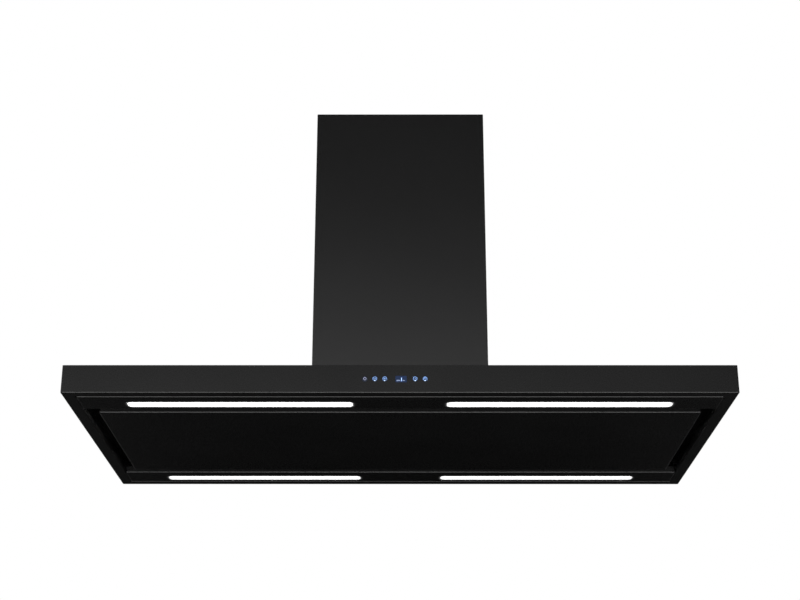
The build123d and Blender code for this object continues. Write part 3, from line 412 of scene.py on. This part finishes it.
def glowing(name, colour):
    """A face with light of one colour, and the socket for its strength."""
    mat, tree, bsdf = new_material(name)
    bsdf.inputs["Base Color"].default_value = (*colour, 1)
    bsdf.inputs["Roughness"].default_value = LIT_ROUGH
    bsdf.inputs["Emission Color"].default_value = (*colour, 1)
    return mat, tree, bsdf.inputs["Emission Strength"]


def lit(name, colour, strength):
    """A translucent moulding with light behind it, a little uneven."""
    mat, tree, emission = glowing(name, colour)
    weak, strong = (strength * share for share in SYMBOL_FROST)
    tree.links.new(spread(tree, noise(tree, FROST), weak, strong), emission)
    return mat


def lamp():
    """The frosted diffuser: even light, weaker beside the sheet round its window."""
    mat, tree, emission = glowing("lamp_diffuser", (1, 1, 1))
    away, _ = away_from_windows(tree)
    fall = spread(tree, away, LAMP_GLOW, LAMP_GLOW * LAMP_EDGE_SHARE, -LAMP_EDGE_WIDTH, 0.0)
    frost = spread(tree, noise(tree, FROST), *LAMP_FROST)
    tree.links.new(product(tree, fall, frost), emission)
    return mat


def make_materials():
    finishes = {key: powder_coat("satin_black_" + key, *coat) for key, coat in COATS.items()}
    # the panel coat takes a painted glow round the lamp windows
    painted_lamp_halo(finishes["panel"])
    finishes.update({
        "galvanised": galvanised(),
        "bright_steel": metal("bright_steel", (0.60, 0.60, 0.61), rough=0.28),
        "black_steel": metal("black_oxide", (0.045, 0.045, 0.05), rough=0.4),
        # painted shade: near-black for the flat crosses that stand in for the shade in the screws'
        # cross recesses
        "recess": plastic("recess_shadow", grey(0.003), rough=0.8, grain=900.0, depth=20 * um),
        "motor_steel": metal("motor_steel", (0.42, 0.43, 0.44), rough=0.36, stretch=(8, 1, 1)),
        "ferrite": plastic("ferrite", grey(0.05), rough=0.6, grain=400.0, depth=30 * um),
        "filter_frame": metal("brushed_aluminium", (0.70, 0.70, 0.72), rough=0.30,
                              stretch=(0.03, 1, 1), scale=1800.0),
        "filter_mesh": metal("mill_aluminium", (0.66, 0.66, 0.68), rough=0.34, scale=500.0),
        "lamp_aluminium": metal("extruded_aluminium", (0.68, 0.69, 0.71), rough=0.35,
                                stretch=(0.04, 1, 1), scale=1500.0),
        "black_plastic": plastic("black_moulding", grey(0.022), rough=0.46),
        "grey_plastic": plastic("grey_moulding", grey(0.16), rough=0.48),
        "white_plastic": plastic("white_moulding", (0.72, 0.72, 0.69), rough=0.42),
        "button": plastic("button_moulding", grey(0.010), rough=0.25, grain=2500.0,
                          depth=2 * um, glow=(0.002, 0.008, 0.024)),
        "rubber": plastic("rubber", grey(0.018), rough=0.78, grain=900.0, depth=20 * um),
        "board_green": circuit_board("board_green", (0.012, 0.10, 0.045), (0.06, 0.22, 0.11)),
        "board_white": circuit_board("board_white", (0.74, 0.74, 0.72), (0.62, 0.62, 0.58)),
        "display_glass": plastic("display_glass", (0.006, 0.012, 0.03), rough=0.12,
                                 grain=2500.0, depth=1 * um, glow=(0.003, 0.012, 0.045)),
        "lamp": lamp(),
        "symbol": lit("symbol_light", (0.19, 0.34, 0.70), strength=0.85),
        "symbol_power": lit("symbol_power_light", (0.24, 0.25, 0.37), strength=0.75),
        "status": lit("status_light", (0.50, 0.64, 0.92), strength=0.95),
        "digit": lit("digit_light", (0.30, 0.46, 0.90), strength=0.95),
        "digit_dim": lit("digit_dim_light", (0.17, 0.22, 0.34), strength=0.75),
    })
    return finishes


NODE_FINISH = {
    "canopy": ("canopy_shell",),
    "chimney": ("chimney_front", "chimney_rear", "chimney_extension"),
    "panel": ("light_panel_front", "light_panel_rear", "centre_panel"),
    "inside": ("filter_plenum",),
    "galvanised": ("base_frame", "lower_posts", "upper_posts", "frame_straps", "ceiling_plate",
                   "blower_supports", "motor_spider", "light_panel_brackets",
                   "centre_panel_brackets", "centre_panel_stiffeners", "hinge_leaves",
                   "chimney_seam_strips"),
    "bright_steel": ("base_bolts", "post_bolts", "hinge_pins", "damper_pin", "motor_shaft",
                     "control_screws"),
    "black_steel": ("chimney_screws", "extension_screws"),
    "motor_steel": ("motor",),
    "ferrite": ("catch_magnets",),
    "filter_frame": ("filter_frames",),
    "filter_mesh": ("filter_meshes",),
    "lamp_aluminium": ("lamp_housings",),
    "black_plastic": ("filter_latch_left", "filter_latch_middle", "filter_latch_right",
                      "control_housing", "impeller", "damper_flap_left", "damper_flap_right"),
    "grey_plastic": ("blower_housing_left", "blower_housing_right", "outlet_collar"),
    "white_plastic": ("electronics_box", "electronics_lid", "cable_gland", "lamp_driver"),
    "button": tuple("button_" + name for name in BUTTONS),
    "rubber": ("support_bushes", "cable_grommet"),
    "board_green": ("control_board", "power_board"),
    "board_white": ("lamp_boards",),
    "display_glass": ("display_window",),
    "lamp": ("lamp_diffusers_front", "lamp_diffusers_rear"),
}


def dress_nodes(materials):
    """Every slot of every node takes its finish."""
    dressed = set()
    for finish, names in NODE_FINISH.items():
        for name in names:
            node = frame["nodes"][name]
            if not node.material_slots:
                node.data.materials.append(None)
            for place in node.material_slots:
                place.material = materials[finish]
            dressed.add(name)
    missing = set(frame["nodes"]) - dressed
    assert not missing, missing


# ---------------------------------------------------------------- thin pieces

def put(name, data):
    """A new object in the scene."""
    thing = bpy.data.objects.new(name, data)
    bpy.context.scene.collection.objects.link(thing)
    return thing


def arc(x, z, r, start, stop, steps=40):
    """Points along an arc, from one angle to another in radians, both ends included."""
    angles = [start + (stop - start) * n / steps for n in range(steps + 1)]
    return [(x + r * cos(angle), z + r * sin(angle)) for angle in angles]


def circle(x, z, r, steps=40):
    return arc(x, z, r, 0.0, 2 * pi, steps)[:-1]


def arc_band(x, z, outer, inner, start, stop):
    """A ring with a gap, from one angle to another in degrees."""
    first, last = radians(start), radians(stop)
    return arc(x, z, outer, first, last) + arc(x, z, inner, first, last)[::-1]


def bar(x, z, left, right, low, high):
    """A rectangle given by its sides' places from x, z."""
    return [(x + left, z + low), (x + right, z + low), (x + right, z + high), (x + left, z + high)]


def cross(x, z, arm, half):
    """A cross with arms of one length from the middle, and half their width."""
    corner = [(-arm, -half), (-half, -half), (-half, -arm)]
    points = []
    for _ in range(4):
        points += [(x + a, z + b) for a, b in corner]
        corner = [(-b, a) for a, b in corner]
    return points


def inlay(name, loops, face_y, thick, material, body, slot, turn=Matrix()):
    """Flat shapes in the front plane, in millimetres, that stand from face_y towards -Y and
    are then turned."""
    curve = bpy.data.curves.new(name, "CURVE")
    curve.dimensions = "2D"
    curve.fill_mode = "BOTH"
    curve.extrude = thick / 2
    for loop in loops:
        spline = curve.splines.new("POLY")
        spline.points.add(len(loop) - 1)
        for point, (x, z) in zip(spline.points, loop):
            point.co = (x * mm, z * mm, 0, 1)
        spline.use_cyclic_u = True
    drawn = put(name + "_drawn", curve)
    filled = drawn.evaluated_get(bpy.context.evaluated_depsgraph_get())
    mesh = bpy.data.meshes.new_from_object(filled)
    bpy.data.objects.remove(drawn)
    upright = Matrix.Translation((0, face_y - thick / 2, 0)) @ Matrix.Rotation(pi / 2, 4, "X")
    mesh.transform(turn @ upright)
    mesh.name = name
    mesh.materials.clear()
    mesh.materials.append(material)
    piece = put(name, mesh)
    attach(piece, body)


def front_middle(low, high):
    """The middle of a box's front, x and z in millimetres."""
    return (low.x + high.x) / 2 / mm, (low.z + high.z) / 2 / mm


def glyph(name, x, z):
    arcs = [arc_band(x, z + rise, *band) for rise, *band in GLYPH_ARCS.get(name, ())]
    return arcs + [bar(x, z, *sides) for sides in GLYPH_BARS[name]]


def button_symbols(materials):
    """Power's symbol stands alone. The others stand in a ring, with a status spot below."""
    thick = SYMBOL_THICK
    for name in BUTTONS:
        low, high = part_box("button_" + name)
        x, z = front_middle(low, high)
        on_button = ("button_" + name, "button_black")
        if name == "power":
            inlay("symbol_power", glyph(name, x, z), low.y, thick, materials["symbol_power"],
                  *on_button)
            continue
        ring = [circle(x, z + RING_RISE, r) for r in RING_RADII]
        inlay("symbol_" + name, ring + glyph(name, x, z + RING_RISE), low.y, thick,
              materials["symbol"], *on_button)
        spot = [circle(x, z - STATUS_DROP, STATUS_R, STATUS_STEPS)]
        inlay("status_" + name, spot, low.y - thick, thick / 2, materials["status"], *on_button)


def display_figures(materials):
    """A lit numeral between dim level blocks, on the display's face."""
    low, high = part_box("display_window")
    x, z = front_middle(low, high)
    on_display = ("hood", "display_glass")
    inlay("display_numeral", [bar(x, z, *NUMERAL)], low.y, FIGURE_THICK, materials["digit"],
          *on_display)
    levels = [bar(x + LEVEL_PITCH * n, z, *LEVEL_BLOCK) for n in range(LEVEL_COUNT)]
    levels.append(bar(x, z, *SIDE_BLOCK))
    inlay("display_levels", levels, low.y, FIGURE_THICK, materials["digit_dim"], *on_display)


def painted_recess_shades(materials):
    """Painted shade: a flat dark cross on each pan head on the chimney's sides, standing in for
    the shade in its cross recess.
    """
    for node, body in (("chimney_screws", "hood"), ("extension_screws", "chimney_top")):
        low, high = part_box(node)
        head_r = (high.z - low.z) / 2
        y, z = (high.y - head_r) / mm, (low.z + high.z) / 2 / mm
        arm, half = RECESS_SHADE_ARM * head_r / mm, RECESS_SHADE_HALF_WIDTH * head_r / mm
        crosses = [cross(place, z, arm, half) for place in (-y, y)]
        for side, quarter in (("left", -pi / 2), ("right", pi / 2)):
            inlay(node.replace("screws", "recess_") + side, crosses, -high.x, RECESS_SHADE_THICK,
                  materials["recess"], body, "black_steel", Matrix.Rotation(quarter, 4, "Z"))


# ---------------------------------------------------------------- studio

def world():
    """White for the camera, light and dark for reflections, and soft light for the rest."""
    studio = bpy.data.worlds.new("studio")
    bpy.context.scene.world = studio
    studio.use_nodes = True
    tree = studio.node_tree
    background = tree.nodes["Background"]
    coords = add(tree, "ShaderNodeTexCoord")
    x, y, z = axes(tree, coords.outputs["Generated"])
    front = product(tree, spread(tree, z, *FRONT_BY_HEIGHT), spread(tree, x, *FRONT_BY_SIDE),
                    spread(tree, y, *FRONT_BY_DEPTH))
    back = product(tree, spread(tree, y, *BACK_BY_DEPTH), spread(tree, z, *BACK_BY_HEIGHT))
    reflections = maths(tree, "ADD", front, back)
    ambient = spread(tree, z, *AMBIENT_BY_HEIGHT)
    path = add(tree, "ShaderNodeLightPath")
    reflected = maths(tree, "MAXIMUM", path.outputs["Is Glossy Ray"],
                      path.outputs["Is Transmission Ray"])
    unseen = either(tree, reflected, reflections, ambient)
    strength = either(tree, path.outputs["Is Camera Ray"], 1.0, unseen)
    tree.links.new(strength, background.inputs["Strength"])
    background.inputs["Color"].default_value = (1, 1, 1, 1)


def lit_surface(tree, level, strength):
    """A matt grey surface with white light of its own."""
    matt = add(tree, "ShaderNodeBsdfDiffuse", Color=(*grey(level), 1))
    own = add(tree, "ShaderNodeEmission", Color=(1, 1, 1, 1))
    tree.links.new(strength, own.inputs["Strength"])
    both = add(tree, "ShaderNodeAddShader")
    tree.links.new(matt.outputs[0], both.inputs[0])
    tree.links.new(own.outputs[0], both.inputs[1])
    return both.outputs[0]


def floor():
    """For the camera a pale floor that keeps the shadow and whitens with distance. For other
    rays it is dark, with a glow to its sides in reflections."""
    mesh = bpy.data.meshes.new("floor")
    z = cad_box[0][2] - FLOOR_DROP
    signs = ((-1, -1), (1, -1), (1, 1), (-1, 1))
    corners = [(sx * FLOOR_HALF, sy * FLOOR_HALF, z) for sx, sy in signs]
    mesh.from_pydata(corners, [], [(0, 1, 2, 3)])
    ground = put("floor", mesh)
    mat, tree, _ = new_material("floor")
    tree.nodes.clear()
    x, y, _ = axes(tree, object_point(tree))
    lift = spread(tree, hypotenuse(tree, x, y), *FLOOR_LIFT)
    beside = spread(tree, maths(tree, "ABSOLUTE", x), *FLOOR_GLOW)
    path = add(tree, "ShaderNodeLightPath")
    glow = product(tree, beside, path.outputs["Is Glossy Ray"])
    mix = add(tree, "ShaderNodeMixShader")
    tree.links.new(path.outputs["Is Camera Ray"], mix.inputs[0])
    tree.links.new(lit_surface(tree, FLOOR_DARK_GREY, glow), mix.inputs[1])
    tree.links.new(lit_surface(tree, FLOOR_SEEN_GREY, lift), mix.inputs[2])
    out = add(tree, "ShaderNodeOutputMaterial")
    tree.links.new(mix.outputs[0], out.inputs["Surface"])
    mesh.materials.append(mat)


def lights():
    for name, place, aim, width, height, watts, spread_angle in SOFTBOXES:
        light = bpy.data.lights.new(name, "AREA")
        light.shape = "RECTANGLE"
        light.size = width
        light.size_y = height
        light.energy = watts
        light.spread = radians(spread_angle)
        box = put(name, light)
        box.location = place
        towards = Vector(aim) - Vector(place)
        box.rotation_euler = towards.to_track_quat("-Z", "Y").to_euler()
        box.visible_camera = False


def camera():
    data = bpy.data.cameras.new("camera")
    data.sensor_width = SENSOR
    data.lens = LENS
    data.clip_end = SEES_TO
    view = put("camera", data)
    yaw = Matrix.Rotation(-radians(CAMERA_YAW), 4, "Z")
    pitch = Matrix.Rotation(radians(90 + CAMERA_PITCH), 4, "X")
    roll = Matrix.Rotation(radians(CAMERA_ROLL), 4, "Z")
    view.matrix_world = Matrix.Translation(CAMERA_AT) @ (yaw @ pitch) @ roll
    bpy.context.scene.camera = view


# ---------------------------------------------------------------- the scene

bpy.context.scene.view_settings.view_transform = "Standard"
materials = make_materials()
dress_nodes(materials)
button_symbols(materials)
display_figures(materials)
painted_recess_shades(materials)
world()
floor()
lights()
camera()
